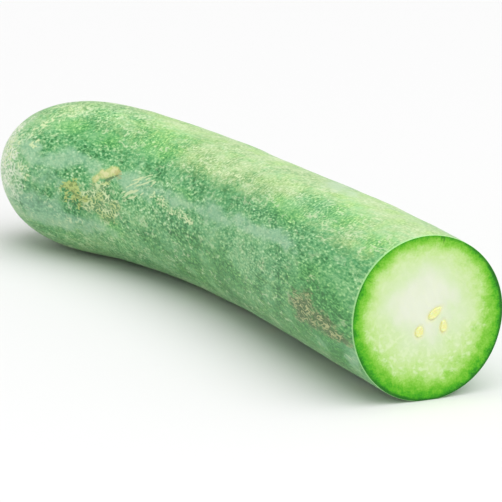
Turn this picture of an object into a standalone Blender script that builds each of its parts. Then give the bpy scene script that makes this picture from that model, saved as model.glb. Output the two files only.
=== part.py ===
# Wax gourd, cut across near its stem end and lying on its side, at its real size.
# The cut face looks along +X. The round blossom end lies at -X and curves towards -Y.
# Metres, +Z up. The origin is on the ground, under the middle of the bounding box.

import math

import bmesh
import bpy
from mathutils import Matrix, Vector

# Body: its centre line runs back from the middle of the cut face
LENGTH = 0.461                # along the centre line, cut face to blossom end
GIRTH = (                     # share of the length, radius there
    (0.00, 0.0450),
    (0.33, 0.0456),
    (0.62, 0.0458),
    (0.85, 0.0497),
)
MIDDLE_OFFSET = 0.0070        # how far the middle of the centre line bows to +Y
END_OFFSET = -0.0575          # and how far its end curls to -Y
REST_DEPTH = 0.0006           # weight flattens the underside by this much
SWELL = 0.0003                # slow rise and fall of the skin
REST_WIDTH = 16               # power that keeps the swell off the flattened underside

# Rounded blossom end
END_CAP = 0.0990              # length over which it closes
CAP_SHOULDER = 3.05           # power of the distance into the cap
CAP_ROUNDING = 1.94           # root taken of what is left

# Scar where the flower sat, at the middle of the blossom end
SCAR_RADIUS = 0.0060          # of the corky ring, to the crest of its roll
SCAR_ROLL = 0.0019            # half the width of that roll
SCAR_PROUD = 0.0009           # how far the roll stands out of the end
DIMPLE_BALL = 0.0042          # the hollow inside the ring is a slice of a ball
DIMPLE_DEPTH = 0.0015

# Cut
CUT_LEAN = 2.2                # degrees that the face tips back to look up
CUT_TURN = -0.9               # degrees that it turns sideways
OVERLENGTH = 0.020            # body made past the cut, then sliced off
KNIFE_SIZE = 0.180

# Seeds: offset across the face to +Y, offset up, tilt in degrees, length, width
SEED_PROUD = 0.0010
SEED_THICKNESS = 0.0034
SEEDS = (
    (0.0041, 0.0024, 53.0, 0.0100, 0.0056),
    (0.0093, -0.0053, 3.0, 0.0072, 0.0050),
    (-0.0053, -0.0068, 20.0, 0.0066, 0.0062),
)
SEED_NARROWING = 0.28         # how much slimmer the tip is than the middle

# Fineness of the mesh
SIDES = 48
BODY_RINGS = 28
CAP_RINGS = 14

# Colours, linear
SKIN_COLOUR = (0.180, 0.380, 0.150, 1.0)
FLESH_COLOUR = (0.780, 0.880, 0.600, 1.0)
SEED_COLOUR = (0.860, 0.850, 0.360, 1.0)


def radius_at(share):
    """Radius of the body before its end is rounded: a cubic through the four girths."""
    total = 0.0
    for at, radius in GIRTH:
        weight = 1.0
        for other, _ in GIRTH:
            if other != at:
                weight *= (share - other) / (at - other)
        total += radius * weight
    return total


def cap_factor(distance):
    """How far the rounded end has closed, from 1 where it starts to 0 at its tip."""
    into = min(max((distance - (LENGTH - END_CAP)) / END_CAP, 0.0), 1.0)
    return max(1.0 - into ** CAP_SHOULDER, 0.0) ** (1.0 / CAP_ROUNDING)


def end_drop(radius):
    """How far back from its tip the blossom end has widened to this radius."""
    left = 1.0 - (radius / radius_at(1.0)) ** CAP_ROUNDING
    return END_CAP * (1.0 - left ** (1.0 / CAP_SHOULDER))


def profile():
    """Points (radius, height) down the outer side, from past the cut to the blossom end."""
    straight = LENGTH - END_CAP + OVERLENGTH
    distances = [-OVERLENGTH + straight * i / BODY_RINGS for i in range(BODY_RINGS)]
    distances += [LENGTH - END_CAP * (1 - i / CAP_RINGS) ** 2 for i in range(CAP_RINGS + 1)]
    return [(radius_at(d / LENGTH) * cap_factor(d), -d) for d in distances]


def centre_line(distance):
    """Middle of the body, and its direction back towards the cut, at this distance."""
    slope = 2 * (END_OFFSET - 4 * MIDDLE_OFFSET) / LENGTH ** 3
    bow = (8 * MIDDLE_OFFSET - END_OFFSET) / LENGTH ** 2
    sideways = distance ** 2 * (bow + slope * distance)
    steepness = 2 * bow * distance + 3 * slope * distance ** 2
    share = min(distance / LENGTH, 1 - END_CAP / LENGTH)
    middle = Vector((-distance, sideways, radius_at(share) - REST_DEPTH))
    return middle, Vector((1.0, -steepness, 0.0)).normalized()


def lay_down(point):
    """Move a point of the standing, straight body to its place in the bent, lying one."""
    distance = -point.z
    angle = math.atan2(point.y, point.x)
    swell = SWELL * (math.sin(2 * angle + 19 * distance) + math.sin(3 * angle - 31 * distance + 1))
    swell *= cap_factor(distance) * (1 - max(-math.sin(angle), 0.0) ** REST_WIDTH)
    reach = math.hypot(point.x, point.y) + swell
    middle, forward = centre_line(distance)
    across = Vector((0.0, 0.0, 1.0)).cross(forward)
    place = middle + reach * (math.cos(angle) * across + math.sin(angle) * Vector((0.0, 0.0, 1.0)))
    place.z = max(place.z, 0.0)
    return place


def body_mesh(skin):
    """Turned profile of the body, bent and laid down, and closed past the cut."""
    mesh = bpy.data.meshes.new("body_profile")
    points = profile()
    mesh.from_pydata([(x, 0.0, z) for x, z in points], [(i, i + 1) for i in range(len(points) - 1)], [])
    turned = bpy.data.objects.new("body_profile", mesh)
    bpy.context.scene.collection.objects.link(turned)
    screw = turned.modifiers.new("turn", "SCREW")
    screw.axis = "Z"
    screw.steps = SIDES
    screw.render_steps = SIDES
    screw.use_merge_vertices = True
    screw.merge_threshold = 0.00001
    evaluated = turned.evaluated_get(bpy.context.evaluated_depsgraph_get())
    body = bpy.data.meshes.new_from_object(evaluated)
    bpy.data.objects.remove(turned)
    made = bmesh.new()
    made.from_mesh(body)
    for vertex in made.verts:
        vertex.co = lay_down(vertex.co)
    bmesh.ops.holes_fill(made, edges=[edge for edge in made.edges if edge.is_boundary], sides=0)
    bmesh.ops.recalc_face_normals(made, faces=made.faces)
    made.to_mesh(body)
    made.free()
    body.materials.append(skin)
    return body


def cut_frame():
    """Middle of the cut face, and its directions: outward, across to +Y and up the face."""
    outward = Vector((1.0, math.tan(math.radians(CUT_TURN)), math.tan(math.radians(CUT_LEAN))))
    outward.normalize()
    across = Vector((0.0, 0.0, 1.0)).cross(outward).normalized()
    return centre_line(0.0)[0], outward, across, outward.cross(across)


def material(name, colour, roughness):
    """Principled material of one kind of surface."""
    made = bpy.data.materials.new(name)
    made.use_nodes = True
    shader = made.node_tree.nodes["Principled BSDF"]
    shader.inputs["Base Color"].default_value = colour
    shader.inputs["Roughness"].default_value = roughness
    shader.inputs["Metallic"].default_value = 0.0
    return made


def place(name, mesh, collection, parent):
    """Put a mesh in the scene under a plain name, shaded smooth except at its cut edge."""
    mesh.shade_smooth()
    mesh.set_sharp_from_angle(angle=math.radians(40))
    made = bpy.data.objects.new(name, mesh)
    collection.objects.link(made)
    made.parent = parent
    return made


def as_tool(name, mesh, collection, parent):
    """Put a mesh in the scene as a cutter or an addition, which is no part of the gourd itself."""
    tool = place(name, mesh, collection, parent)
    tool.hide_render = True
    tool.display_type = "WIRE"
    return tool


def knife_block(flesh, collection, parent):
    """Block whose near face is the plane of the cut: it slices off what lies inside it, and leaves
    its material, the flesh, on the cut."""
    middle, outward, across, up = cut_frame()
    made = bmesh.new()
    bmesh.ops.create_cube(made, size=KNIFE_SIZE)
    turn = Matrix((outward, across, up)).transposed().to_4x4()
    seat = middle + outward * KNIFE_SIZE / 2
    bmesh.ops.transform(made, matrix=Matrix.Translation(seat) @ turn, verts=made.verts)
    mesh = bpy.data.meshes.new("knife")
    made.to_mesh(mesh)
    made.free()
    mesh.materials.append(flesh)
    return as_tool("knife", mesh, collection, parent)


def scar_tools(skin, collection, parent):
    """Corky roll round the place of the flower, and the ball that hollows out its middle."""
    end, forward = centre_line(LENGTH)
    upright = Matrix.Translation(end) @ (-forward).to_track_quat("Z", "Y").to_matrix().to_4x4()
    bpy.ops.mesh.primitive_torus_add(
        major_radius=SCAR_RADIUS, minor_radius=SCAR_ROLL, major_segments=28, minor_segments=8)
    ring = bpy.context.object
    sunk = SCAR_ROLL + end_drop(SCAR_RADIUS) - SCAR_PROUD
    ring.data.transform(upright @ Matrix.Translation((0.0, 0.0, -sunk)))
    made = bmesh.new()
    seat = upright @ Matrix.Translation((0.0, 0.0, DIMPLE_BALL - DIMPLE_DEPTH))
    bmesh.ops.create_uvsphere(made, u_segments=16, v_segments=12, radius=DIMPLE_BALL, matrix=seat)
    ball_mesh = bpy.data.meshes.new("dimple")
    made.to_mesh(ball_mesh)
    made.free()
    ring_mesh = ring.data
    bpy.data.objects.remove(ring)
    for mesh in (ring_mesh, ball_mesh):
        mesh.materials.append(skin)
    return [as_tool(name, mesh, collection, parent)
            for name, mesh in (("scar_ring", ring_mesh), ("dimple", ball_mesh))]


def combine(piece, tool, operation):
    """Cut the piece with a tool, or join the tool to it."""
    step = piece.modifiers.new(tool.name, "BOOLEAN")
    step.operation = operation
    step.solver = "EXACT"
    step.material_mode = "TRANSFER"
    step.object = tool


def seed(number, across_offset, up_offset, tilt, length, width, coat, collection, parent):
    """One flat, drop-shaped seed lodged in the cut face, its long axis tilted from upright."""
    middle, outward, across, up = cut_frame()
    made = bmesh.new()
    bmesh.ops.create_uvsphere(made, u_segments=14, v_segments=9, radius=0.5)
    for vertex in made.verts:
        slim = 1 - SEED_NARROWING * (vertex.co.z + 0.5)
        vertex.co = Vector((vertex.co.x * SEED_THICKNESS, vertex.co.y * width * slim, vertex.co.z * length))
    turn = Matrix((outward, across, up)).transposed().to_4x4() @ Matrix.Rotation(math.radians(-tilt), 4, "X")
    seat = middle + across * across_offset + up * up_offset + outward * (SEED_PROUD - SEED_THICKNESS / 2)
    bmesh.ops.transform(made, matrix=Matrix.Translation(seat) @ turn, verts=made.verts)
    mesh = bpy.data.meshes.new(f"seed_{number}")
    made.to_mesh(mesh)
    made.free()
    mesh.materials.append(coat)
    return as_tool(f"seed_{number}", mesh, collection, parent)


def build_gourd(collection, cutters, parent):
    """The whole fruit, grown as one piece: scarred at its end, sliced, its seeds in the cut."""
    skin = material("skin", SKIN_COLOUR, 0.45)
    flesh = material("flesh", FLESH_COLOUR, 0.35)
    coat = material("seed_coat", SEED_COLOUR, 0.35)
    gourd = place("gourd", body_mesh(skin), collection, parent)
    ring, dimple = scar_tools(skin, cutters, parent)
    combine(gourd, ring, "UNION")
    combine(gourd, dimple, "DIFFERENCE")
    combine(gourd, knife_block(flesh, cutters, parent), "DIFFERENCE")
    for number, values in enumerate(SEEDS, start=1):
        combine(gourd, seed(number, *values, coat, cutters, parent), "UNION")
    return gourd


def stand_on_origin(gourd, frame):
    """Shift the whole gourd so that its box stands centred on the origin."""
    bpy.context.view_layer.update()
    evaluated = gourd.evaluated_get(bpy.context.evaluated_depsgraph_get())
    mesh = evaluated.to_mesh()
    spans = [[vertex.co[axis] for vertex in mesh.vertices] for axis in range(2)]
    frame.location = [-(min(span) + max(span)) / 2 for span in spans] + [0.0]
    evaluated.to_mesh_clear()
    bpy.context.view_layer.update()


def build():
    for old in list(bpy.data.objects):
        bpy.data.objects.remove(old)
    collection = bpy.data.collections.new("wax_gourd")
    cutters = bpy.data.collections.new("cutters")
    bpy.context.scene.collection.children.link(collection)
    bpy.context.scene.collection.children.link(cutters)
    frame = bpy.data.objects.new("gourd_frame", None)
    collection.objects.link(frame)
    stand_on_origin(build_gourd(collection, cutters, frame), frame)


build()
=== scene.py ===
# Wax gourd, cut across near its stem end and lying on its side: the finish of every surface
import math
import random

import bpy
import numpy as np
from mathutils import Matrix, Vector, noise


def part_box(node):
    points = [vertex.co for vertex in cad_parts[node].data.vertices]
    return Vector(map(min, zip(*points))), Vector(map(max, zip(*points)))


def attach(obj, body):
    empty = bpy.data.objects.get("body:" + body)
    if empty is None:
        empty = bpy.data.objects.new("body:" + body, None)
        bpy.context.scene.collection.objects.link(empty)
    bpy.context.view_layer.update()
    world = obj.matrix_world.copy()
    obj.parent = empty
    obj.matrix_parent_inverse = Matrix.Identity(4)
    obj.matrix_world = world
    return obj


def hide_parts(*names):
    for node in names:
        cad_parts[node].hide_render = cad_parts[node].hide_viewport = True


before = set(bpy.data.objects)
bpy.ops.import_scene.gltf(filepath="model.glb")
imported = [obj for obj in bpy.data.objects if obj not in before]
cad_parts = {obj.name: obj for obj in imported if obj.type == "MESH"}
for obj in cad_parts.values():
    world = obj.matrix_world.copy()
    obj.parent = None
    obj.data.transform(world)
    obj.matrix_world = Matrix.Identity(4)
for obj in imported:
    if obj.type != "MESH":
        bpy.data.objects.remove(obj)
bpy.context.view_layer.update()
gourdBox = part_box("gourd")

body = {                       # metres and degrees
    "length": 0.461,           # along its middle, cut face to blossom end
    "girths": ((0.00, 0.0450), (0.33, 0.0456), (0.62, 0.0458), (0.85, 0.0497)),
    "middleOffset": 0.0070,    # its middle bows to +Y
    "endOffset": -0.0575,      # and its end curls to -Y
    "restDepth": 0.0006,       # flattened by its weight
    "swell": 0.0003,           # slow rise and fall of the skin
    "restWidth": 16,           # power that keeps the swell off the underside
    "endCap": 0.0990,          # length over which the blossom end closes
    "capShoulder": 3.05,
    "capRounding": 1.94,
    "cutLean": 2.2,            # the face tips back
    "cutTurn": -0.9,           # and turns a little sideways
    "cutFade": 0.060,          # the tilt of the cut dies out over this distance
    "sides": 64,               # of the cage, before it is subdivided
    "levels": 2,
    "edgeRings": (0.0004, 0.0014, 0.0040),    # close rings that keep the cut edge crisp
    "ringStep": 0.0070,
    "capRings": 18,
    "capLastRing": 16,         # the tip inside this one is a grid
    "rimRings": (0.0005, 0.0022, 0.0050),     # in from the cut edge, on the face
    "gridSpan": 16,
    "fineReach": 0.0190,       # the face is finer this close to its middle
    "scarRadius": 0.0060,      # corky ring round the place of the flower
    "scarRoll": 0.0016,
    "scarProud": 0.0010,
    "dimpleRadius": 0.0034,
    "dimpleDepth": 0.0016,
}


def girthAt(share):
    # a cubic through the four girths
    total = 0.0
    for at, radius in body["girths"]:
        weight = 1.0
        for other, _ in body["girths"]:
            if other != at:
                weight *= (share - other) / (at - other)
        total += radius * weight
    return total


def capFactor(distance):
    # from 1 where the rounded end starts to 0 at its tip
    into = (distance - (body["length"] - body["endCap"])) / body["endCap"]
    into = min(max(into, 0.0), 1.0)
    return max(1.0 - into ** body["capShoulder"], 0.0) ** (1.0 / body["capRounding"])


def endDrop(radius):
    # how far back from the tip the end has widened to this radius
    left = 1.0 - (radius / girthAt(1.0)) ** body["capRounding"]
    return body["endCap"] * (1.0 - left ** (1.0 / body["capShoulder"]))


def skinRadius(distance):
    return girthAt(distance / body["length"]) * capFactor(distance)


def centreLine(distance):
    # middle of the body, and the direction back to the cut
    length, middle, end = body["length"], body["middleOffset"], body["endOffset"]
    slope = 2 * (end - 4 * middle) / length ** 3
    bow = (8 * middle - end) / length ** 2
    sideways = distance ** 2 * (bow + slope * distance)
    steepness = 2 * bow * distance + 3 * slope * distance ** 2
    share = min(distance, length - body["endCap"]) / length
    place = Vector((-distance, sideways, girthAt(share) - body["restDepth"]))
    return place, Vector((1.0, -steepness, 0.0)).normalized()


def cutDirections():
    # outward from the cut face, across it to +Y, and up it
    lean, turn = math.radians(body["cutLean"]), math.radians(body["cutTurn"])
    outward = Vector((1.0, math.tan(turn), math.tan(lean))).normalized()
    across = Vector((0.0, 0.0, 1.0)).cross(outward).normalized()
    return outward, across, outward.cross(across)


def deselectAll():
    for thing in bpy.context.selected_objects:
        thing.select_set(False)


def startPiece(name):
    # name the primitive just added and open it for shaping
    piece = bpy.context.object
    piece.name = name
    piece.data.name = name
    return piece


def applyAll(piece):
    deselectAll()
    bpy.context.view_layer.objects.active = piece
    piece.select_set(True)
    for step in list(piece.modifiers):
        bpy.ops.object.modifier_apply(modifier=step.name)
    piece.select_set(False)


def smoothFiner(piece, levels):
    smooth = piece.modifiers.new("fine surface", "SUBSURF")
    smooth.levels = levels
    smooth.render_levels = levels
    applyAll(piece)


def selectWhere(piece, test):
    # in edit mode: select only the vertices that pass the test
    bpy.ops.object.mode_set(mode="OBJECT")
    mesh = piece.data
    chosen = [test(vertex.co) for vertex in mesh.vertices]
    mesh.vertices.foreach_set("select", chosen)
    for edge in mesh.edges:
        edge.select = all(chosen[i] for i in edge.vertices)
    for face in mesh.polygons:
        face.select = all(chosen[i] for i in face.vertices)
    bpy.ops.object.mode_set(mode="EDIT")


def readPoints(mesh):
    points = np.empty(len(mesh.vertices) * 3)
    mesh.vertices.foreach_get("co", points)
    return points.reshape(-1, 3)


def addAttribute(mesh, name, values, kind="FLOAT"):
    made = mesh.attributes.new(name, kind, "POINT")
    field = "vector" if kind == "FLOAT_VECTOR" else "value"
    made.data.foreach_set(field, np.ravel(values).astype(np.float32))


def extrudeRing(drop, ratio):
    # one more ring: down the body by drop, wider or slimmer by ratio
    bpy.ops.mesh.extrude_region_move(TRANSFORM_OT_translate={"value": (0.0, 0.0, -drop)})
    bpy.ops.transform.resize(value=(ratio, ratio, 1.0))


def ringDistances():
    # from the cut to the last ring before the tip
    straight = body["length"] - body["endCap"]
    first = body["edgeRings"][-1]
    count = round((straight - first) / body["ringStep"])
    along = list(body["edgeRings"])
    along += [first + (straight - first) * i / count for i in range(1, count)]
    for i in range(body["capLastRing"] + 1):
        along.append(body["length"] - body["endCap"] * (1 - i / body["capRings"]) ** 2)
    return along


def standingGourd():
    # the straight body, upright along -Z with its cut at the top
    edge = skinRadius(0.0)
    bpy.ops.mesh.primitive_circle_add(vertices=body["sides"], radius=edge, fill_type="NOTHING")
    piece = startPiece("gourd_body")
    bpy.ops.object.mode_set(mode="EDIT")
    bpy.ops.mesh.select_mode(type="EDGE")
    bpy.ops.mesh.select_all(action="SELECT")
    last, lastRadius = 0.0, edge
    for distance in ringDistances():
        radius = skinRadius(distance)
        extrudeRing(distance - last, radius / lastRadius)
        last, lastRadius = distance, radius
    bpy.ops.mesh.fill_grid(span=body["gridSpan"])
    selectWhere(piece, lambda place: abs(place.z) < 1e-6)
    lastRadius = edge
    for inset in body["rimRings"]:
        extrudeRing(0.0, (edge - inset) / lastRadius)
        lastRadius = edge - inset
    bpy.ops.mesh.fill_grid(span=body["gridSpan"])
    selectWhere(piece, lambda place: abs(place.z) < 1e-6 and math.hypot(place.x, place.y) < body["fineReach"])
    bpy.ops.mesh.subdivide(number_cuts=1)
    bpy.ops.mesh.select_all(action="SELECT")
    bpy.ops.mesh.normals_make_consistent(inside=False)
    bpy.ops.object.mode_set(mode="OBJECT")
    smoothFiner(piece, body["levels"])
    return piece


seeds = {                      # in the cut face, metres and degrees
    # offset across to +Y, offset up, tilt from upright, length, width
    "places": (
        (0.0041, 0.0024, 53.0, 0.0100, 0.0056),
        (0.0093, -0.0053, 3.0, 0.0072, 0.0050),
        (-0.0053, -0.0068, 20.0, 0.0066, 0.0062),
    ),
    "proud": 0.0008,
    "thickness": 0.0034,
    "narrowing": 0.28,         # how much slimmer the tip is than the middle
    "margin": 0.00030,         # raised rim of the seed coat
    "marginAt": 0.74,          # its crest, where 1 is the outline of the seed
    "marginWidth": 0.13,
    "hollow": 0.00035,         # dip in the middle of the coat
    "rough": 0.00012,
    "roughSize": 0.0018,
    "levels": 2,
    "pocketDepth": 0.00045,    # the flesh sinks away round each seed
    "pocketStart": 0.9,        # from here, where 1 is the outline of the seed
    "pocketReach": 1.45,       # to here
}


def seedReach(across, up, place):
    # 0 in the middle of a seed, 1 on its outline
    offAcross, offUp, tilt, length, width = place
    turn = math.radians(tilt)
    along = (up - offUp) * math.cos(turn) + (across - offAcross) * math.sin(turn)
    aside = (across - offAcross) * math.cos(turn) - (up - offUp) * math.sin(turn)
    slim = 1 - seeds["narrowing"] * (along / length + 0.5)
    return math.hypot(2 * along / length, 2 * aside / (width * slim))


def smoothStep(value, low, high):
    share = min(max((value - low) / (high - low), 0.0), 1.0)
    return share * share * (3 - 2 * share)


faceForm = {                   # relief of the cut face, metres and degrees
    "waveSize": 0.0150,
    "wave": 0.00022,
    "grainSize": 0.0035,
    "grain": 0.00006,
    "knifeTurn": 24.0,         # direction of the faint knife marks
    "knifeStep": 0.0065,
    "knife": 0.00006,
    "knifeSway": 0.4,          # how far a mark strays, in steps
    "knifeSwaySize": 0.02,
    "edgeFade": 0.0025,        # the relief dies out this close to the skin
}


def faceRelief(across, up):
    # how far the flesh stands out of the plane of the cut
    rise = faceForm["wave"] * noise.noise(Vector((across, up, 0.3)) / faceForm["waveSize"])
    rise += faceForm["grain"] * noise.noise(Vector((across, up, 0.9)) / faceForm["grainSize"])
    turn = math.radians(faceForm["knifeTurn"])
    stroke = across * math.cos(turn) + up * math.sin(turn)
    sway = faceForm["knifeSway"] * noise.noise(Vector((across, up, 2.0)) / faceForm["knifeSwaySize"])
    rise += faceForm["knife"] * math.sin(2 * math.pi * (stroke / faceForm["knifeStep"] + sway))
    for place in seeds["places"]:
        reach = seedReach(across, up, place)
        rise -= seeds["pocketDepth"] * (1 - smoothStep(reach, seeds["pocketStart"], seeds["pocketReach"]))
    return rise


# Marks on the skin: distance from the cut and angle round the body (0 is +Y, 90 is up, 180 is -Y),
# then half length, half width and how far they are turned, in millimetres and degrees
marks = {
    # waxy bloom; the long bands along 148 to 168 degrees are also a painted reflection of the lights
    "bloomAndReflection": (
        (376, 156, 26, 8, 8), (398, 158, 16, 8, 0), (394, 168, 18, 6, 0), (412, 150, 12, 6, 0),
        (300, 157, 34, 6, 3), (255, 156, 40, 5, 0), (205, 155, 34, 6, -2), (104, 148, 36, 4, 0),
        (150, 151, 30, 4, 0), (410, 193, 30, 10, 0), (380, 203, 44, 8, 0), (22, 205, 26, 8, 0),
    ),
    # darker patches of the skin's own; the two near the cut on the -Y side, at 62 and 110 millimetres, are
    # painted shade
    "dark": (
        (290, 105, 15, 10, 0), (318, 108, 12, 8, 0), (84, 116, 34, 10, 0), (30, 138, 26, 5, 0),
        (220, 139, 90, 4.5, 0), (100, 137, 50, 4.5, 0), (388, 181, 26, 10, 0), (98, 113, 30, 8, 0),
        (355, 164, 12, 4, 0), (408, 110, 8, 5, 0), (350, 122, 36, 10, 0), (110, 160, 60, 9, 0),
        (62, 142, 52, 8, 0),
    ),
    # painted shade: a darker, yellower lower flank near the cut
    "lowShade": ((60, 199, 80, 16, 0), (175, 202, 90, 16, 0), (36, 174, 42, 12, 0)),
    "dull": ((392, 94, 44, 20, 0), (352, 96, 16, 8, 0), (395, 196, 40, 5, 0), (98, 113, 30, 7, 0)),
    "blotch": ((336.0, 156.5, 8.0, 3.1, 25), (330.0, 154.0, 5.0, 3.0, 20), (344, 162, 3.4, 2.2, 30)),
    "rust": ((324, 153.5, 3.0, 1.8, -10), (321.5, 156, 2.2, 1.4, 0)),
    "slit": ((332, 160, 7.5, 0.6, 27),),
    "cork": (
        (370, 173.5, 7.5, 3.6, 20), (363, 179, 5.5, 4.6, 65), (360, 187, 5.0, 2.2, 70),
        (372, 180, 5, 2.0, 70), (353, 180, 4, 2.0, 20),
    ),
    "net": (
        (335, 166, 6, 3.0, 30), (336, 174, 12, 6, 0), (343, 182, 12, 5, 0), (322, 178, 6, 4, 0),
        (353, 180, 8, 6, 0), (328, 186, 12, 5, 0), (56, 186, 16, 9, 0), (38, 188, 16, 6, 0),
        (22, 192, 16, 4, 0),
    ),
    "tip": ((446, 160, 26, 24, 0), (441, 148, 12, 12, 0), (455, 90, 16, 16, 0), (458, 250, 12, 30, 0)),
    "streak": ((301, 159, 15, 5, 29), (292, 156, 10, 4, 29), (298, 163, 8, 3, 29)),
    "beige": (
        (262, 118, 18, 11, 0), (236, 119, 20, 11, 0), (210, 120, 22, 11, 0), (176, 120, 22, 9, 0),
        (150, 114, 18, 8, 0), (400, 104, 12, 9, 0), (40, 130, 12, 5, 0), (16, 131, 8, 5, 0),
        (244, 129, 14, 5, 0),
    ),
    # yellower green patches; the wide one 34 millimetres from the cut, low on the -Y side, is the yellower
    # hue of painted shade
    "lime": (
        (385, 127, 14, 6, 0), (352, 131, 20, 5, 0), (300, 122, 24, 9, 0), (128, 127, 16, 6, 0),
        (75, 108, 24, 12, 0), (310, 104, 22, 8, 0), (112, 131, 16, 6, 0), (18, 120, 14, 10, 0),
        (244, 152, 10, 4, 0), (330, 196, 12, 7, 0), (34, 180, 36, 20, 0),
    ),
    "fleck": (
        (415, 104, 8, 3, 0), (403, 103, 9, 3, 0), (405, 120, 12, 5, 30), (414, 128, 7, 4, 40),
        (418, 137, 6, 4, 0), (412, 147, 4, 3, 0), (413, 172, 6, 3, 0), (418, 168, 6, 3, 0),
        (438, 150, 10, 12, 0), (341, 167, 5, 3, 30), (53, 116, 4, 2, 0), (116, 171, 5, 3, 0),
        (51, 162, 4, 3, 0), (66, 180, 4, 3, 0), (75, 124, 5, 3, 0), (229, 124, 13, 1.6, 0),
        (205, 121, 9, 1.6, 0), (262, 164, 6, 2.6, 0), (252, 166, 5, 2.4, 0), (243, 166, 7, 2.6, 0),
        (228, 167, 7, 2.6, 0), (270, 162, 5, 2.4, 10), (280, 160, 4, 2.0, 10),
    ),
}

unseen = {
    # for the sides that look away: how many of each kind, and their usual half length and half width
    "bloomAndReflection": (14, 28, 8), "dark": (14, 24, 7), "blotch": (2, 7, 3), "slit": (1, 6, 0.8),
    "cork": (4, 6, 3.4), "net": (7, 12, 7), "streak": (9, 12, 4), "beige": (9, 19, 9),
    "lime": (11, 18, 8), "fleck": (20, 5, 3), "rust": (2, 3, 2),
}


def addUnseenMarks():
    # the same every time, because the draw starts from a fixed number
    draw = random.Random(7)
    for kind, (count, halfLength, halfWidth) in unseen.items():
        for _ in range(count):
            size = draw.uniform(0.7, 1.35)
            distance = draw.uniform(12, 430)
            angle = draw.uniform(-118, 78)
            twist = draw.uniform(-30, 30)
            marks[kind] += ((distance, angle, halfLength * size, halfWidth * size, twist),)


addUnseenMarks()

# how light the skin is at each angle round the body, and how yellow; the lighter, yellower top near 80 to 106
# degrees is partly a painted highlight of the light from above
rounds = {
    "shade": ((-150, 0.46), (-90, 0.50), (-40, 0.45), (10, 0.41), (50, 0.50), (80, 0.60), (106, 0.58),
              (118, 0.535), (127, 0.485), (139, 0.435), (147, 0.45), (157, 0.48), (175, 0.445),
              (195, 0.44), (210, 0.46), (270, 0.50)),
    "warm": ((-150, 0.30), (-90, 0.50), (-40, 0.25), (10, 0.10), (50, 0.45), (86, 1.05), (100, 0.70),
             (118, 0.50), (130, 0.24), (140, 0.05), (160, 0.0), (210, 0.30), (270, 0.50)),
}


def roundBody(kind, straight):
    angle = np.degrees(np.arctan2(straight[:, 1], straight[:, 0]))
    angle = np.where(angle < -150, angle + 360, angle)
    knots = rounds[kind]
    return np.interp(angle, [knot[0] for knot in knots], [knot[1] for knot in knots])


def markStrength(kind, straight):
    # 1 inside a mark of this kind and 0 outside, for points of the straight body in millimetres
    total = np.zeros(len(straight))
    for distance, angle, halfLength, halfWidth, twist in marks[kind]:
        turn, lean = math.radians(angle), math.radians(twist)
        outer = np.array((math.cos(turn), math.sin(turn), 0.0))
        ringward = np.array((-math.sin(turn), math.cos(turn), 0.0))
        middle = outer * skinRadius(distance / 1000) * 1000 - np.array((0.0, 0.0, distance))
        offset = straight - middle
        along, aside = -offset[:, 2], offset @ ringward
        first = (along * math.cos(lean) + aside * math.sin(lean)) / halfLength
        second = (aside * math.cos(lean) - along * math.sin(lean)) / halfWidth
        reach = np.sqrt(first ** 2 + second ** 2 + (offset @ outer / halfLength) ** 2)
        total = np.maximum(total, np.clip((1.6 - reach) / 1.2, 0.0, 1.0))    # full at 0.4, gone at 1.6
    return total


grain = {                      # how far speckles are stretched along the body, by millimetres from the cut
    "distance": (-20, 120, 330, 480),
    "stretch": (0.38, 0.40, 0.62, 0.66),
    "step": 5.0,
}


def grainPlace(straight):
    # the place on the straight body, with its length squeezed by the stretch of the speckles
    steps = np.arange(grain["distance"][0], grain["distance"][-1] + 1, grain["step"])
    slopes = np.interp(steps, grain["distance"], grain["stretch"])
    reached = np.concatenate(((0.0,), np.cumsum((slopes[1:] + slopes[:-1]) / 2 * grain["step"])))
    return np.column_stack((straight[:, 0], straight[:, 1], np.interp(-straight[:, 2], steps, reached)))


skinForm = {                   # relief of the skin, metres
    "swellTwist": (19.0, -31.0),    # how fast the slow swells wind round the body, radians a metre
    "dentSize": 0.034,
    "dent": 0.00045,
    "rippleSize": 0.011,
    "ripple": 0.00012,
    "corkRise": 0.00030,
    "blotchRise": 0.00045,
    "slitDrop": 0.00050,
    "corkGrain": 0.0042,
    "netRise": 0.00015,
    "edgeFade": 0.012,         # the relief dies out this close to the cut
    "tipReach": 0.030,         # over this stretch the relief turns to face along the body
    "raised": ("cork", "net", "blotch", "slit"),
}


def distancesFromCut(points, reach):
    # along the body; the grid that closes the tip is flat, so there they follow from the reach
    distance = -points[:, 2].copy()
    tipDepth = endDrop(skinRadius(ringDistances()[-1])) * 1.02    # just outside the last ring
    for i in np.nonzero(distance > body["length"] - tipDepth)[0]:
        distance[i] = body["length"] - endDrop(reach[i])
    return distance


def scarRise(reach, distance):
    # the corky ring and the dimple where the flower sat
    if distance < body["length"] - 0.006:
        return 0.0
    offRing = (reach - body["scarRadius"]) / body["scarRoll"]
    rise = body["scarProud"] * math.exp(-offRing ** 2)
    return rise - body["dimpleDepth"] * (1 - smoothStep(reach, 0.0, body["dimpleRadius"] * 1.3))


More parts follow.
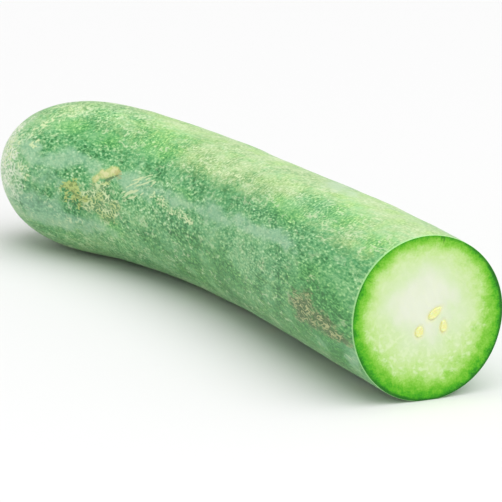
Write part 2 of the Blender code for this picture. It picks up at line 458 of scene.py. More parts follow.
def skinRise(x, y, distance, reach, strength):
    # how far the skin stands off the smooth body, by how strong each raised mark is there
    turn = math.atan2(y, x)
    under = max(-math.sin(turn), 0.0) ** body["restWidth"]
    twist, twistBack = skinForm["swellTwist"]
    wave = math.sin(2 * turn + twist * distance) + math.sin(3 * turn + twistBack * distance + 1)
    rise = body["swell"] * wave * capFactor(distance) * (1 - under)
    fade = smoothStep(distance, 0.0, skinForm["edgeFade"]) * (1 - under)
    spot = Vector((x, y, -distance))
    rise += fade * skinForm["dent"] * noise.noise(spot / skinForm["dentSize"])
    rise += fade * skinForm["ripple"] * noise.noise(spot / skinForm["rippleSize"])
    rough = 0.5 + noise.noise(spot / skinForm["corkGrain"])
    rise += fade * skinForm["corkRise"] * strength["cork"] * rough
    rise += fade * skinForm["netRise"] * strength["net"] * rough
    rise += fade * skinForm["blotchRise"] * smoothStep(strength["blotch"], 0.3, 0.7)
    rise -= fade * skinForm["slitDrop"] * smoothStep(strength["slit"], 0.2, 0.6)
    return rise + scarRise(reach, distance)


def skinPoint(x, y, distance, reach, rise):
    # from the straight body to its place on the bent one
    outward = cutDirections()[0]
    turn = math.atan2(y, x)
    line, forward = centreLine(distance)
    sideways = Vector((0.0, 0.0, 1.0)).cross(forward)
    shift = -(x * outward.y + y * outward.z) / outward.x
    shift *= (1 - min(distance / body["cutFade"], 1.0)) ** 2
    radial = math.cos(turn) * sideways + math.sin(turn) * Vector((0.0, 0.0, 1.0))
    atTip = smoothStep(distance, body["length"] - skinForm["tipReach"], body["length"])
    lift = (radial * (1 - atTip) - forward * atTip).normalized() * rise
    return line + reach * radial + forward * shift + lift


def facePoint(side, height, inset):
    # in the plane of the cut, with the relief of the flesh
    outward = cutDirections()[0]
    away = -(side * outward.y + height * outward.z) / outward.x
    place = centreLine(0.0)[0] + Vector((away, side, height))
    flat = smoothStep(inset, 0.0, faceForm["edgeFade"])
    return place + outward * (faceRelief(side, height) * flat)


def addPlaces(mesh, points, distance, onFace):
    # what the materials read, in millimetres
    edge = skinRadius(0.0)
    reach = np.hypot(points[:, 0], points[:, 1])
    straight = np.column_stack((points[:, 0], points[:, 1], -distance)) * 1000
    addAttribute(mesh, "skinPlace", straight, "FLOAT_VECTOR")
    addAttribute(mesh, "grainPlace", grainPlace(straight), "FLOAT_VECTOR")
    for kind in rounds:
        addAttribute(mesh, kind, roundBody(kind, straight))
    atEnd = distance > body["length"] - 0.010
    addAttribute(mesh, "scarReach", np.where(atEnd, reach * 1000, 99.0))
    depth = np.where(onFace, (edge - reach) * 1000, 0.0)
    addAttribute(mesh, "cutDepth", depth)
    ray = points[:, :2] / np.maximum(reach, 1e-6)[:, None] * edge * 1000
    addAttribute(mesh, "cutRay", np.column_stack((ray, depth)), "FLOAT_VECTOR")
    pockets = [min(seedReach(x, y, place) for place in seeds["places"]) for x, y, _ in points.tolist()]
    addAttribute(mesh, "seedReach", np.where(onFace, pockets, 9.0))


def layDown(piece):
    # bend the standing body, lay it on its side, and give it its relief and its attributes
    mesh = piece.data
    points = readPoints(mesh)
    edge = skinRadius(0.0)
    reach = np.hypot(points[:, 0], points[:, 1])
    onFace = (np.abs(points[:, 2]) < 2e-5) & (reach < edge - 2e-5)
    distance = distancesFromCut(points, reach)
    straight = np.column_stack((points[:, 0], points[:, 1], -distance)) * 1000
    masks = {kind: markStrength(kind, straight) for kind in marks}
    placed = np.empty_like(points)
    for i, (x, y, _) in enumerate(points.tolist()):
        away, out = float(distance[i]), float(reach[i])
        if onFace[i]:
            place = facePoint(x, y, edge - out)
        else:
            strength = {kind: float(masks[kind][i]) for kind in skinForm["raised"]}
            place = skinPoint(x, y, away, out, skinRise(x, y, away, out, strength))
        place.z = max(place.z, 0.0)
        placed[i] = place
    shift = (np.array(gourdBox[0]) + np.array(gourdBox[1])) / 2 - (placed.min(0) + placed.max(0)) / 2
    shift[2] = 0.0
    placed += shift
    mesh.vertices.foreach_set("co", placed.ravel())
    mesh.update()
    addPlaces(mesh, points, distance, onFace)
    for kind, values in masks.items():
        addAttribute(mesh, kind, values)
    return Vector(shift)


def paintCut(piece):
    # skin is the first material and the cut flesh the second
    depth = np.empty(len(piece.data.vertices))
    piece.data.attributes["cutDepth"].data.foreach_get("value", depth)
    for face in piece.data.polygons:
        face.use_smooth = True
        face.material_index = 1 if any(depth[i] > 0.0 for i in face.vertices) else 0


def makeSeed(number, place, shift):
    # a flat drop with a raised margin, lodged in the face
    offAcross, offUp, tilt, length, width = place
    bpy.ops.mesh.primitive_uv_sphere_add(segments=20, ring_count=12, radius=0.5)
    piece = startPiece(f"seed_{number}")
    bpy.ops.object.mode_set(mode="EDIT")
    bpy.ops.mesh.select_all(action="SELECT")
    bpy.ops.transform.rotate(value=math.radians(90), orient_axis="X", center_override=(0.0, 0.0, 0.0))
    bpy.ops.transform.resize(value=(width, length, seeds["thickness"]))
    bpy.ops.object.mode_set(mode="OBJECT")
    smoothFiner(piece, seeds["levels"])
    outward, across, up = cutDirections()
    middle = centreLine(0.0)[0] + shift
    turn = Matrix.Rotation(math.radians(-tilt), 3, outward)
    side, tall = turn @ across, turn @ up
    seat = middle + across * offAcross + up * offUp + outward * (seeds["proud"] - seeds["thickness"] / 2)
    straight = []
    for vertex in piece.data.vertices:
        x, y, z = vertex.co
        slim = 1 - seeds["narrowing"] * (y / length + 0.5)
        inside = math.hypot(2 * x / width, 2 * y / length)
        offMargin = (inside - seeds["marginAt"]) / seeds["marginWidth"]
        rim = seeds["margin"] * math.exp(-offMargin ** 2) * (1 if z > 0 else 0)
        hollow = seeds["hollow"] * (1 - smoothStep(inside, 0.2, 0.7)) * (1 if z > 0 else 0)
        straight.append((x * 1000, y * 1000, z * 1000))
        vertex.co = seat + side * (x * slim) + tall * y + outward * (z + rim - hollow)
        vertex.co += outward * seeds["rough"] * noise.noise(Vector((x, y, number)) / seeds["roughSize"])
    addAttribute(piece.data, "seedPlace", np.array(straight), "FLOAT_VECTOR")
    for face in piece.data.polygons:
        face.use_smooth = True
    return piece


# Materials. Sizes in them are millimetres, read from skinPlace, seedPlace and cutRay

def newMaterial(name):
    made = bpy.data.materials.new(name)
    made.use_nodes = True
    return made, made.node_tree, made.node_tree.nodes["Principled BSDF"]


def setFinish(tree, shader, look, colour):
    tree.links.new(colour, shader.inputs["Base Color"])
    for name, value in look["sockets"].items():
        shader.inputs[name].default_value = value


def addBump(tree, shader, look, height):
    bump = addNode(tree, "ShaderNodeBump", {**look["bump"], "Height": height})
    tree.links.new(bump.outputs["Normal"], shader.inputs["Normal"])


def addNode(tree, kind, inputs, **settings):
    made = tree.nodes.new(kind)
    for name, value in settings.items():
        setattr(made, name, value)
    for name, value in inputs.items():
        if isinstance(value, bpy.types.NodeSocket):
            tree.links.new(value, made.inputs[name])
        else:
            made.inputs[name].default_value = value
    return made


def readAttribute(tree, name, output="Fac"):
    return addNode(tree, "ShaderNodeAttribute", {}, attribute_name=name).outputs[output]


def maths(tree, operation, first, second, clamp=False):
    values = {0: first, 1: second}
    return addNode(tree, "ShaderNodeMath", values, operation=operation, use_clamp=clamp).outputs[0]


def vectorMaths(tree, operation, first, second):
    return addNode(tree, "ShaderNodeVectorMath", {0: first, 1: second}, operation=operation).outputs[0]


def times(tree, first, second):
    return maths(tree, "MULTIPLY", first, second)


def plus(tree, first, second, clamp=False):
    return maths(tree, "ADD", first, second, clamp)


def minus(tree, first, second, clamp=False):
    return maths(tree, "SUBTRACT", first, second, clamp)


def towards(tree, first, second, share):
    # the first value at share 0 and the second at share 1
    return plus(tree, first, times(tree, minus(tree, second, first), share))


def between(tree, value, low, high, start=0.0, end=1.0):
    # a soft change from start to end while the value goes from low to high
    values = {"Value": value, "From Min": low, "From Max": high, "To Min": start, "To Max": end}
    return addNode(tree, "ShaderNodeMapRange", values, interpolation_type="SMOOTHSTEP").outputs[0]


def swing(tree, value, start, end):
    # the same over the middle part of a noise
    return between(tree, value, 0.3, 0.7, start, end)


def blend(tree, amount, first, second, kind="MIX"):
    values = {0: amount, 6: first, 7: second}
    return addNode(tree, "ShaderNodeMix", values, data_type="RGBA", blend_type=kind).outputs[2]


def ramp(tree, value, stops):
    made = addNode(tree, "ShaderNodeValToRGB", {"Fac": value})
    points = made.color_ramp.elements
    while len(points) < len(stops):
        points.new(0.5)
    for point, (at, colour) in zip(points, stops):
        point.position = at
        point.color = (*colour, 1.0)
    return made.outputs["Color"]


def whole(colour):
    return (*colour, 1.0)


def stretch(tree, vector, scale, shift=(0.0, 0.0, 0.0)):
    values = {"Vector": vector, "Scale": scale, "Location": shift}
    return addNode(tree, "ShaderNodeMapping", values).outputs[0]


def noiseAt(tree, vector, size, detail, rough):
    values = {"Vector": vector, "Scale": 1 / size, "Detail": detail, "Roughness": rough}
    return addNode(tree, "ShaderNodeTexNoise", values).outputs["Fac"]


def driftAt(tree, vector, size):
    # a slow wandering shift, as a vector
    values = {"Vector": vector, "Scale": 1 / size, "Detail": 1.0}
    return addNode(tree, "ShaderNodeTexNoise", values).outputs["Color"]


def ridgesAt(tree, vector, size):
    # thin winding crests
    values = {"Vector": vector, "Scale": 1 / size, "Detail": 1.0, "Offset": 0.9, "Gain": 1.6}
    return addNode(tree, "ShaderNodeTexNoise", values, noise_type="RIDGED_MULTIFRACTAL").outputs["Fac"]


def dotsAt(tree, vector, size):
    # small round dots, each with its own strength, and darker skin between them
    cells = addNode(tree, "ShaderNodeTexVoronoi", {"Vector": vector, "Scale": 1 / size}).outputs
    strength = addNode(tree, "ShaderNodeSeparateColor", {0: cells["Color"]}).outputs[0]
    cores = times(tree, between(tree, cells["Distance"], 0.44, 0.14), between(tree, strength, 0.05, 0.95))
    return minus(tree, cores, between(tree, cells["Distance"], 0.36, 0.66, 0.0, 0.28))


speckLook = {                  # sizes in millimetres
    "drift": 2.6,
    "fine": 1.6,
    "worm": 2.4,
    "dot": 2.0,
    "dotShare": 0.28,
    "nearSize": 0.76,          # of the speckles near the cut, against those further away
    # how strong they are, by what is read there
    "busy": {"patch": (0.36, 0.62, 0.75, 1.15), "waxAndReflection": (0.0, 1.0, 1.0, 0.70),
             "warm": (0.1, 0.8, 1.05, 0.60), "height": (-110, -50, 1.0, 0.85)},
}


def speckles(tree, place, size=1.0):
    # the speckling, its fine part, its worm-like part and the place that they are read at
    drift = driftAt(tree, place, speckLook["drift"])
    warped = vectorMaths(tree, "ADD", place, drift)
    fine = noiseAt(tree, warped, speckLook["fine"] * size, 2.0, 0.6)
    worm = ridgesAt(tree, warped, speckLook["worm"] * size)
    specks = plus(tree, swing(tree, fine, -0.12, 0.12), between(tree, worm, 0.45, 1.15, -0.05, 0.11))
    dots = times(tree, dotsAt(tree, warped, speckLook["dot"] * size), speckLook["dotShare"])
    return plus(tree, specks, dots), fine, worm, warped


skinNoise = {
    # the place it is read at, size in millimetres, detail, roughness, squeeze along the body, start
    "medium": ("grain", 5.0, 2.0, 0.50, 1.0, (0.0, 0.0, 0.0)),
    "cluster": ("grain", 9.0, 1.0, 0.50, 1.0, (3.0, 31.0, 17.0)),
    "patch": ("place", 13.0, 2.0, 0.55, 0.6, (40.0, 0.0, 0.0)),
    "broad": ("place", 36.0, 1.0, 0.50, 0.6, (0.0, 90.0, 0.0)),
    "hue": ("warped", 2.4, 1.0, 0.50, 1.0, (11.0, 7.0, 5.0)),
}

markEdge = {
    # the strength at which each kind of mark starts to show, and at which it is full
    "lowShade": (0.05, 0.95),
    "dull": (0.0, 1.0),
    "tip": (0.05, 0.90),
    "fleck": (0.30, 0.65),
    "net": (0.10, 0.95),
    "streak": (0.2, 0.6),
    "cork": (0.36, 0.66),
    "blotch": (0.10, 0.70),
    "rust": (0.1, 0.9),
    "slit": (0.3, 0.6),
}

skinLook = {
    # by how light the skin is there, for its green and its yellow parts
    "green": ((0.00, (0.012, 0.120, 0.030)), (0.20, (0.030, 0.215, 0.052)), (0.36, (0.088, 0.365, 0.122)),
              (0.50, (0.215, 0.515, 0.208)), (0.66, (0.385, 0.680, 0.325)), (0.90, (0.660, 0.860, 0.550))),
    "warm": ((0.00, (0.025, 0.120, 0.020)), (0.20, (0.062, 0.225, 0.048)), (0.36, (0.175, 0.390, 0.120)),
             (0.54, (0.395, 0.585, 0.240)), (0.70, (0.570, 0.735, 0.380)), (0.90, (0.800, 0.880, 0.600))),
    # how much lighter or darker each part of the skin is
    "tones": {"dulled": -0.065, "banded": -0.04, "faded": 0.03, "waxAndReflection": 0.05, "lowShadeShare": -0.12,
              "paleTip": 0.16},
    # colour of the waxy bloom and of the painted reflection over it
    "bloomAndReflection": (0.380, 0.565, 0.460),
    "limeTint": (0.98, 1.04, 0.72, 1.0),
    "tip": (0.820, 0.880, 0.700),
    "cream": (0.730, 0.730, 0.360),
    "olive": (0.460, 0.580, 0.170),
    "oliveDark": (0.150, 0.230, 0.050),
    "rust": (0.400, 0.340, 0.110),
    "slit": (0.090, 0.210, 0.080),
    "netGround": (0.085, 0.190, 0.055),
    "fleck": (0.660, 0.800, 0.430),
    "streak": (0.630, 0.750, 0.410),
    "flake": (0.620, 0.760, 0.440),
    "tan": (0.460, 0.500, 0.215),
    "brown": (0.072, 0.122, 0.026),
    # painted highlight where the skin's edge at the cut catches the light
    "edgeHighlight": (0.420, 0.800, 0.300),
    "scar": (0.470, 0.450, 0.200),
    "scarCore": (0.200, 0.170, 0.075),
    # how much of the skin below each of these hides
    "bloomAndReflectionShare": 0.36,
    "streakShare": 0.90,
    "corkShare": 0.92,
    "blotchShare": 0.95,
    "slitShare": 0.85,
    # where the flakes and the curls of the tip's flecks lie, by what is read there
    "flakeShares": {"ridges": (0.72, 1.00), "cluster": (0.56, 0.47), "medium": (0.48, 0.58, 0.0, 0.65),
                    "warm": (0.0, 0.25, 0.35, 1.0)},
    "curlShares": {"ridges": (0.50, 0.85), "hue": (0.40, 0.54, 0.15, 1.0)},
    "streakSlant": -28.0,      # degrees
    "streakGrain": (1.8, 1.8, 13.0),
    "sockets": {"Roughness": 0.48, "Sheen Weight": 0.12, "Sheen Roughness": 0.3},
    "bump": {"Strength": 0.5, "Distance": 0.00015},
}


def markAt(tree, skin, name, jitter):
    # where this kind of mark is, its outline broken up by noise
    broken = times(tree, jitter, between(tree, skin[name], 0.0, 0.22))
    return between(tree, plus(tree, skin[name], broken), *markEdge[name])


def shareOf(tree, skin, spreads):
    # the product of one share for each thing that is read
    share = 1.0
    for name, spread in spreads.items():
        share = times(tree, share, between(tree, skin[name], *spread))
    return share


def readSkin(tree):
    # everything that the colours of the skin depend on
    skin = {name: readAttribute(tree, name) for name in (*rounds, *marks)}
    skin["place"] = readAttribute(tree, "skinPlace", "Vector")
    skin["grain"] = readAttribute(tree, "grainPlace", "Vector")
    skin["side"], _, skin["height"] = addNode(tree, "ShaderNodeSeparateXYZ", {0: skin["place"]}).outputs
    skin["specks"], skin["fine"], skin["worm"], skin["warped"] = speckles(tree, skin["grain"])
    for name, (source, size, detail, rough, squeeze, start) in skinNoise.items():
        spot = stretch(tree, skin[source], (1.0, 1.0, squeeze), start)
        skin[name] = noiseAt(tree, spot, size, detail, rough)
    skin["nearCut"] = between(tree, skin["height"], -150, -100)
    return skin


def addParts(tree, skin):
    # the broad parts of the skin, each from 0 to 1
    # painted shade on the lower flank near the cut: darker, yellower, with less bloom
    lowShade = markAt(tree, skin, "lowShade", swing(tree, skin["patch"], -0.30, 0.30))
    # waxy bloom and painted reflection: paler, bluer skin with calmer speckles
    waxAndReflection = plus(tree, skin["bloomAndReflection"], swing(tree, skin["patch"], 0.34, -0.44))
    waxAndReflection = plus(tree, waxAndReflection, swing(tree, skin["medium"], -0.12, 0.12))
    skin["waxAndReflection"] = between(tree, minus(tree, waxAndReflection, times(tree, lowShade, 0.45)), 0.15, 1.05)
    skin["lowShadeShare"] = lowShade
    skin["dulled"] = markAt(tree, skin, "dull", swing(tree, skin["medium"], -0.2, 0.2))
    skin["paleTip"] = markAt(tree, skin, "tip", swing(tree, skin["patch"], -0.35, 0.35))
    skin["banded"] = between(tree, skin["dark"], 0.0, 0.9)
    skin["faded"] = between(tree, skin["beige"], 0.0, 0.9)
    skin["crown"] = times(tree, skin["warm"], between(tree, skin["cluster"], 0.46, 0.62, 0.0, 0.7))


def addLines(tree, skin):
    # what breaks up the outlines of marks, and the winding lines in them, finer near the cut
    jitter = swing(tree, skin["medium"], -0.35, 0.35)
    skin["jitter"] = plus(tree, jitter, swing(tree, skin["fine"], -0.15, 0.15))
    skin["fingers"] = plus(tree, skin["jitter"], between(tree, skin["worm"], 0.4, 1.0, -0.18, 0.25))
    loops = ridgesAt(tree, skin["warped"], 2.2)
    loops = towards(tree, loops, ridgesAt(tree, skin["warped"], 1.8), skin["nearCut"])
    loops = plus(tree, loops, between(tree, skin["medium"], 0.35, 0.65, 0.16, -0.16))
    loops = plus(tree, loops, between(tree, skin["hue"], 0.35, 0.65, 0.18, -0.18))
    skin["loops"] = between(tree, minus(tree, loops, times(tree, skin["nearCut"], 0.16)), 0.50, 0.90)
    skin["ridges"] = ridgesAt(tree, stretch(tree, skin["warped"], (1.0, 1.0, 1.0), (7.0, 3.0, 0.0)), 3.3)


def skinSpecks(tree, skin):
    # finer speckles near the cut, and rounder and calmer ones on the crown
    near = speckles(tree, skin["grain"], speckLook["nearSize"])[0]
    specks = towards(tree, skin["specks"], near, between(tree, skin["height"], -250, -130))
    specks = towards(tree, specks, speckles(tree, skin["place"])[0], between(tree, skin["warm"], 0.05, 0.50))
    specks = plus(tree, specks, swing(tree, skin["medium"], -0.04, 0.04))
    busy = plus(tree, shareOf(tree, skin, speckLook["busy"]), times(tree, skin["dulled"], 0.45))
    return times(tree, specks, busy)


def skinTone(tree, skin, specks):
    # how light the skin is
    tone = plus(tree, skin["shade"], specks)
    uneven = between(tree, skin["patch"], 0.34, 0.66, 0.035, -0.04)
    uneven = plus(tree, uneven, between(tree, skin["broad"], 0.32, 0.68, -0.04, 0.04))
    tone = plus(tree, tone, times(tree, uneven, between(tree, skin["height"], -120, -60, 1.0, 0.45)))
    for part, change in skinLook["tones"].items():
        tone = plus(tree, tone, times(tree, skin[part], change))
    return tone


def skinWarmth(tree, skin):
    # how yellow the skin is
    warm = plus(tree, skin["warm"], times(tree, skin["faded"], 0.45))
    warm = plus(tree, warm, between(tree, skin["hue"], 0.32, 0.68, -0.22, 0.24))
    warm = minus(tree, warm, times(tree, skin["dulled"], 0.35))
    warm = minus(tree, warm, between(tree, skin["lime"], 0.0, 0.8, 0.0, 0.35), clamp=True)
    return minus(tree, warm, times(tree, skin["crown"], 0.25), clamp=True)


def groundColour(tree, skin, tone):
    # from green to yellow, with a lime tint in places, under the waxy bloom and the painted reflection band
    green, yellow = ramp(tree, tone, skinLook["green"]), ramp(tree, tone, skinLook["warm"])
    colour = blend(tree, skinWarmth(tree, skin), green, yellow)
    lime = plus(tree, skin["lime"], times(tree, skin["lowShadeShare"], 0.8))
    lime = plus(tree, lime, skin["crown"], clamp=True)
    lime = times(tree, lime, between(tree, skin["patch"], 0.34, 0.60, 0.5, 1.0))
    colour = blend(tree, lime, colour, skinLook["limeTint"], "MULTIPLY")
    return blend(tree, times(tree, skin["waxAndReflection"], skinLook["bloomAndReflectionShare"]), colour, whole(skinLook["bloomAndReflection"]))


def addTip(tree, skin, colour):
    # the pale tip, laid on in winding lines
    share = times(tree, skin["paleTip"], between(tree, skin["worm"], 0.42, 0.88, 0.18, 0.90))
    return blend(tree, share, colour, whole(skinLook["tip"]))


def addFlakes(tree, skin, colour):
    # small pale flakes in loose groups, fewer where the skin is pure green
    return blend(tree, shareOf(tree, skin, skinLook["flakeShares"]), colour, whole(skinLook["flake"]))


def addFlecks(tree, skin, colour):
    # pale flecks, of winding lines on the body and of broken curls at the tip
    curls = shareOf(tree, skin, skinLook["curlShares"])
    curls = towards(tree, skin["loops"], curls, between(tree, skin["height"], -375, -395))
    share = markAt(tree, skin, "fleck", skin["jitter"])
    share = times(tree, share, between(tree, skin["nearCut"], 0.0, 1.0, 1.0, 0.7))
    share = times(tree, share, between(tree, curls, 0.0, 1.0, 0.06, 0.92))
    return blend(tree, share, colour, whole(skinLook["fleck"]))


def addNet(tree, skin, colour):
    # fine threads on darker skin, tan on brown where it is corky: near the cut, on the -Y side
    net = markAt(tree, skin, "net", skin["jitter"])
    corky = times(tree, skin["nearCut"], between(tree, skin["side"], 10.0, -20.0))
    ground = blend(tree, corky, whole(skinLook["netGround"]), whole(skinLook["brown"]))
    colour = blend(tree, times(tree, net, between(tree, corky, 0.0, 1.0, 0.60, 0.82)), colour, ground)
    olive = between(tree, skin["cluster"], 0.46, 0.60, 0.0, 0.65)
    threads = blend(tree, olive, whole(skinLook["fleck"]), whole(skinLook["olive"]))
    threads = blend(tree, corky, threads, whole(skinLook["tan"]))
    return blend(tree, times(tree, net, skin["loops"]), colour, threads)


def addStreaks(tree, skin, colour):
    # slanted pale scratches
    slant = {"Vector": skin["place"], "Scale": skinLook["streakGrain"],
             "Rotation": (math.radians(skinLook["streakSlant"]), 0.0, 0.0)}
    place = addNode(tree, "ShaderNodeMapping", slant, vector_type="TEXTURE").outputs[0]
    share = between(tree, noiseAt(tree, place, 1.0, 1.0, 0.5), 0.51, 0.62)
    share = times(tree, share, markAt(tree, skin, "streak", skin["jitter"]))
    return blend(tree, times(tree, share, skinLook["streakShare"]), colour, whole(skinLook["streak"]))


def addCork(tree, skin, colour):
    # olive cork with dark pores
    share = markAt(tree, skin, "cork", times(tree, skin["fingers"], 0.85))
    pores = between(tree, skin["fine"], 0.38, 0.56, 0.8, 0.0)
    tone = blend(tree, pores, whole(skinLook["olive"]), whole(skinLook["oliveDark"]))
    return blend(tree, times(tree, share, skinLook["corkShare"]), colour, tone)


def addBlotch(tree, skin, colour):
    # the cream blotch with its olive rim, and the rust and the slit beside it
    share = markAt(tree, skin, "blotch", times(tree, skin["jitter"], 0.95))
    inside = plus(tree, skin["blotch"], swing(tree, skin["fine"], -0.25, 0.25))
    inside = plus(tree, inside, between(tree, skin["medium"], 0.35, 0.65, -0.35, 0.25))
    rim = between(tree, inside, 1.15, 0.40, 0.0, 0.85)
    tone = blend(tree, rim, whole(skinLook["cream"]), whole(skinLook["olive"]))
    colour = blend(tree, times(tree, share, skinLook["blotchShare"]), colour, tone)
    rust = markAt(tree, skin, "rust", skin["fingers"])
    rust = times(tree, rust, between(tree, skin["loops"], 0.0, 1.0, 0.45, 0.85))
    colour = blend(tree, rust, colour, whole(skinLook["rust"]))
    slit = times(tree, markAt(tree, skin, "slit", skin["jitter"]), skinLook["slitShare"])
    return blend(tree, slit, colour, whole(skinLook["slit"]))


def addEnds(tree, skin, colour):
    # the scar where the flower sat, and a painted highlight along the edge of the cut
    reach = plus(tree, readAttribute(tree, "scarReach"), swing(tree, skin["fine"], -0.6, 0.6))
    colour = blend(tree, between(tree, reach, 8.5, 5.5, 0.0, 0.85), colour, whole(skinLook["scar"]))
    colour = blend(tree, between(tree, reach, 3.6, 2.4, 0.0, 0.9), colour, whole(skinLook["scarCore"]))
    # painted highlight: the skin's edge at the cut catching the light
    line = between(tree, skin["height"], -2.0, -0.8, 0.0, 0.7)
    return blend(tree, line, colour, whole(skinLook["edgeHighlight"]))


def skinMaterial():
    made, tree, shader = newMaterial("waxy_skin")
    skin = readSkin(tree)
    addParts(tree, skin)
    addLines(tree, skin)
    specks = skinSpecks(tree, skin)
    colour = groundColour(tree, skin, skinTone(tree, skin, specks))
    for layer in (addTip, addFlakes, addFlecks, addNet, addStreaks, addCork, addBlotch, addEnds):
        colour = layer(tree, skin, colour)
    setFinish(tree, shader, skinLook, colour)
    addBump(tree, shader, skinLook, specks)
    return made


cutLook = {
    # colour by depth under the skin, as a share of depthRange millimetres
    "depths": ((0.0, (0.010, 0.190, 0.000)), (0.03, (0.035, 0.320, 0.000)), (0.055, (0.065, 0.390, 0.002)),
               (0.09, (0.130, 0.460, 0.012)), (0.15, (0.240, 0.550, 0.055)), (0.22, (0.385, 0.640, 0.160)),
               (0.30, (0.500, 0.690, 0.270)), (0.40, (0.560, 0.710, 0.360)), (0.52, (0.595, 0.720, 0.430)),
               (0.64, (0.645, 0.730, 0.510)), (0.82, (0.690, 0.738, 0.575)), (1.0, (0.705, 0.745, 0.600))),
    "depthRange": 44.0,
    "rim": (0.004, 0.115, 0.000),
    "fleck": (0.020, 0.170, 0.002),
    "fleckShare": 0.65,
    "cloud": (0.720, 0.800, 0.560),
    "cloudShare": 0.47,
    "pocket": (0.740, 0.750, 0.450),
    # sizes of the noises, millimetres
    "slow": 15.0,
    "mottle": 5.5,
    "fine": 3.2,
    "grain": 1.1,
    "bend": 7.0,               # the arcs wander this slowly
    "bendReach": (4.0, 4.0, 4.0),
    "arc": 2.6,
    "dash": 1.4,
    "sockets": {"Roughness": 0.36, "Specular IOR Level": 0.3, "Subsurface Weight": 0.20,
                "Subsurface Radius": (0.9, 1.0, 0.5), "Subsurface Scale": 0.0015},
    "bump": {"Strength": 0.4, "Distance": 0.00010},
}


def fleshDepth(tree, flesh):
    # depth under the skin as the colours follow it; the green reaches deeper below than above
    widen = between(tree, flesh["up"], -44.0, 44.0, 0.78, 1.36)
    slow = noiseAt(tree, flesh["place"], cutLook["slow"], 1.0, 0.5)
    widen = times(tree, widen, swing(tree, slow, 0.84, 1.16))
    widen = times(tree, widen, between(tree, flesh["across"], 8.0, 44.0, 1.0, 0.80))
    depth = times(tree, flesh["depth"], widen)
    depth = plus(tree, depth, between(tree, flesh["up"], 10.0, 44.0, 0.0, 0.9))
    spot = stretch(tree, flesh["place"], (1.0, 1.0, 1.0), (30.0, 9.0, 0.0))
    depth = plus(tree, depth, swing(tree, noiseAt(tree, spot, cutLook["mottle"], 2.0, 0.5), -1.0, 1.0))
    fine = noiseAt(tree, flesh["place"], cutLook["fine"], 2.0, 0.5)
    depth = plus(tree, depth, swing(tree, fine, -0.8, 0.8))
    depth = plus(tree, depth, swing(tree, flesh["grain"], -0.9, 0.9))
    return maths(tree, "DIVIDE", depth, cutLook["depthRange"])


def addRim(tree, flesh, colour):
    # the dark line under the skin, with painted shade making it stronger low on the +Y side, and the short
    # dashes inside it
    low = minus(tree, flesh["across"], flesh["up"])
    rim = between(tree, flesh["depth"], 0.6, 2.2, 0.85, 0.0)
    # painted shade: the rim darker low on the +Y side
    rim = times(tree, rim, between(tree, low, -40.0, 30.0, 0.25, 1.0))
    colour = blend(tree, rim, colour, whole(cutLook["rim"]))
    dash = noiseAt(tree, stretch(tree, flesh["ray"], (1.0, 1.0, 0.30)), cutLook["dash"], 1.0, 0.5)
    dash = times(tree, between(tree, dash, 0.66, 0.74), between(tree, flesh["depth"], 2.0, 6.0, 1.0, 0.0))
    return blend(tree, times(tree, dash, cutLook["fleckShare"]), colour, whole(cutLook["fleck"]))


def addClouds(tree, flesh, colour, depth):
    # pale arcs that run round inside the green ring
    bend = driftAt(tree, flesh["place"], cutLook["bend"])
    bend = vectorMaths(tree, "MULTIPLY", bend, cutLook["bendReach"])
    bent = vectorMaths(tree, "ADD", bend, flesh["ray"])
    arcs = noiseAt(tree, stretch(tree, bent, (0.5, 0.5, 1.0)), cutLook["arc"], 1.0, 0.5)
    cloud = times(tree, between(tree, arcs, 0.46, 0.72), between(tree, depth, 0.16, 0.24))
    cloud = times(tree, cloud, between(tree, depth, 0.70, 0.38, 0.15, 1.0))
    cloud = times(tree, cloud, between(tree, flesh["up"], 20.0, -25.0, 0.45, 1.0))
    return blend(tree, times(tree, cloud, cutLook["cloudShare"]), colour, whole(cutLook["cloud"]))


def cutMaterial():
    made, tree, shader = newMaterial("cut_flesh")
    place, ray = readAttribute(tree, "skinPlace", "Vector"), readAttribute(tree, "cutRay", "Vector")
    flesh = {"place": place, "ray": ray, "depth": readAttribute(tree, "cutDepth")}
    flesh["across"], flesh["up"], _ = addNode(tree, "ShaderNodeSeparateXYZ", {0: ray}).outputs
    flesh["grain"] = noiseAt(tree, place, cutLook["grain"], 2.0, 0.6)
    depth = fleshDepth(tree, flesh)
    colour = addRim(tree, flesh, ramp(tree, depth, cutLook["depths"]))
    colour = addClouds(tree, flesh, colour, depth)
    near = between(tree, readAttribute(tree, "seedReach"), 0.95, 1.60, 0.60, 0.0)
    colour = blend(tree, near, colour, whole(cutLook["pocket"]))
    setFinish(tree, shader, cutLook, colour)
    addBump(tree, shader, cutLook, flesh["grain"])
    return made


seedLook = {
    "coat": ((0.30, (0.735, 0.735, 0.230)), (0.50, (0.750, 0.765, 0.340)), (0.72, (0.765, 0.795, 0.500))),
    "grain": 1.1,              # millimetres
    "sockets": {"Roughness": 0.30, "Subsurface Weight": 0.2, "Subsurface Scale": 0.001},
}


def seedMaterial():
    made, tree, shader = newMaterial("seed_coat")
    fine = noiseAt(tree, readAttribute(tree, "seedPlace", "Vector"), seedLook["grain"], 3.0, 0.6)
    setFinish(tree, shader, seedLook, ramp(tree, fine, seedLook["coat"]))
    return made


def buildGourd():
    piece = standingGourd()
    print("cage subdivided:", len(piece.data.polygons), "faces")
    shift = layDown(piece)
    print("laid down, shifted by", tuple(round(x, 5) for x in shift))
    piece.data.materials.append(skinMaterial())
    piece.data.materials.append(cutMaterial())
    paintCut(piece)
    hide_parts("gourd")
    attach(piece, "root")
    coat = seedMaterial()
    for number, place in enumerate(seeds["places"], start=1):
        one = makeSeed(number, place, shift)
        one.data.materials.append(coat)
        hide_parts("gourd")
        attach(one, "root")
    print("seeds placed:", len(seeds["places"]))
    return shift


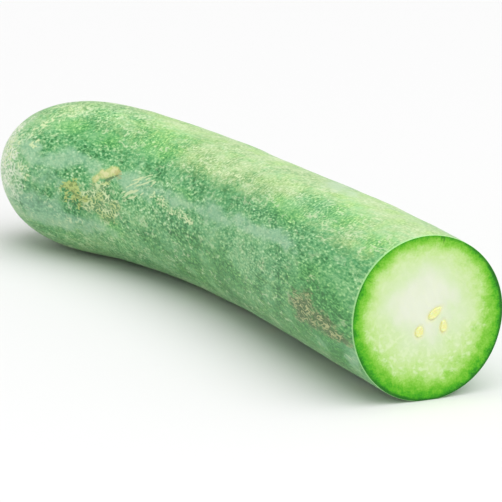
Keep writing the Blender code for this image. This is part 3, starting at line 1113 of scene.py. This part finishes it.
studio = {                     # metres, from the middle of the cut
    "cameraFromCut": (1.31240, -0.73192, 0.44036),
    "lookFromCut": (-0.17916, -0.01856, 0.04440),
    "lens": 209.6,
    "sensor": 36.0,
    "clip": (0.05, 60.0),
    "floorHalf": 14.0,
    "floorDrop": 0.0003,
    "floorTone": 0.80,
    "floorRoughness": 0.8,
    "floorShine": 0.2,
    "world": 0.62,
    "sunFrom": (0.35, 0.10, 1.00),
    "sunPower": 2.0,
    "sunAngle": 75.0,
    "key": (1.70, -0.10, 0.70),
    "keyPower": 4.0,
    "keySize": 1.0,
}


def addLight(name, kind, place, power):
    lamp = bpy.data.lights.new(name, kind)
    lamp.energy = power
    made = bpy.data.objects.new(name, lamp)
    bpy.context.scene.collection.objects.link(made)
    made.location = place
    made.rotation_euler = (-made.location).to_track_quat("-Z", "Y").to_euler()
    return lamp


def buildStudio(shift):
    scene = bpy.context.scene
    camera = bpy.data.objects.new("camera", bpy.data.cameras.new("camera"))
    scene.collection.objects.link(camera)
    cutAt = Vector((shift.x, shift.y, 0.0))
    camera.location = cutAt + Vector(studio["cameraFromCut"])
    aim = cutAt + Vector(studio["lookFromCut"]) - camera.location
    camera.rotation_euler = aim.to_track_quat("-Z", "Y").to_euler()
    camera.data.lens = studio["lens"]
    camera.data.sensor_width = studio["sensor"]
    camera.data.clip_start, camera.data.clip_end = studio["clip"]
    scene.camera = camera
    deselectAll()
    half = studio["floorHalf"]
    bpy.ops.mesh.primitive_plane_add(size=2 * half, location=(0.0, 0.0, -studio["floorDrop"]))
    floor = bpy.context.object
    floor.name = "floor"
    made, _, shader = newMaterial("pale_floor")
    shader.inputs["Base Color"].default_value = whole((studio["floorTone"],) * 3)
    shader.inputs["Roughness"].default_value = studio["floorRoughness"]
    shader.inputs["Specular IOR Level"].default_value = studio["floorShine"]
    floor.data.materials.append(made)
    world = bpy.data.worlds.new("white_studio")
    scene.world = world
    world.use_nodes = True
    back = world.node_tree.nodes["Background"]
    back.inputs["Color"].default_value = (1.0, 1.0, 1.0, 1.0)
    back.inputs["Strength"].default_value = studio["world"]
    addLight("key", "AREA", studio["key"], studio["keyPower"]).size = studio["keySize"]
    addLight("sun", "SUN", studio["sunFrom"], studio["sunPower"]).angle = math.radians(studio["sunAngle"])
    scene.view_settings.view_transform = "Standard"
    scene.view_settings.look = "None"


deselectAll()
moved = buildGourd()
buildStudio(moved)
print("cut middle in the frame:", tuple(moved))
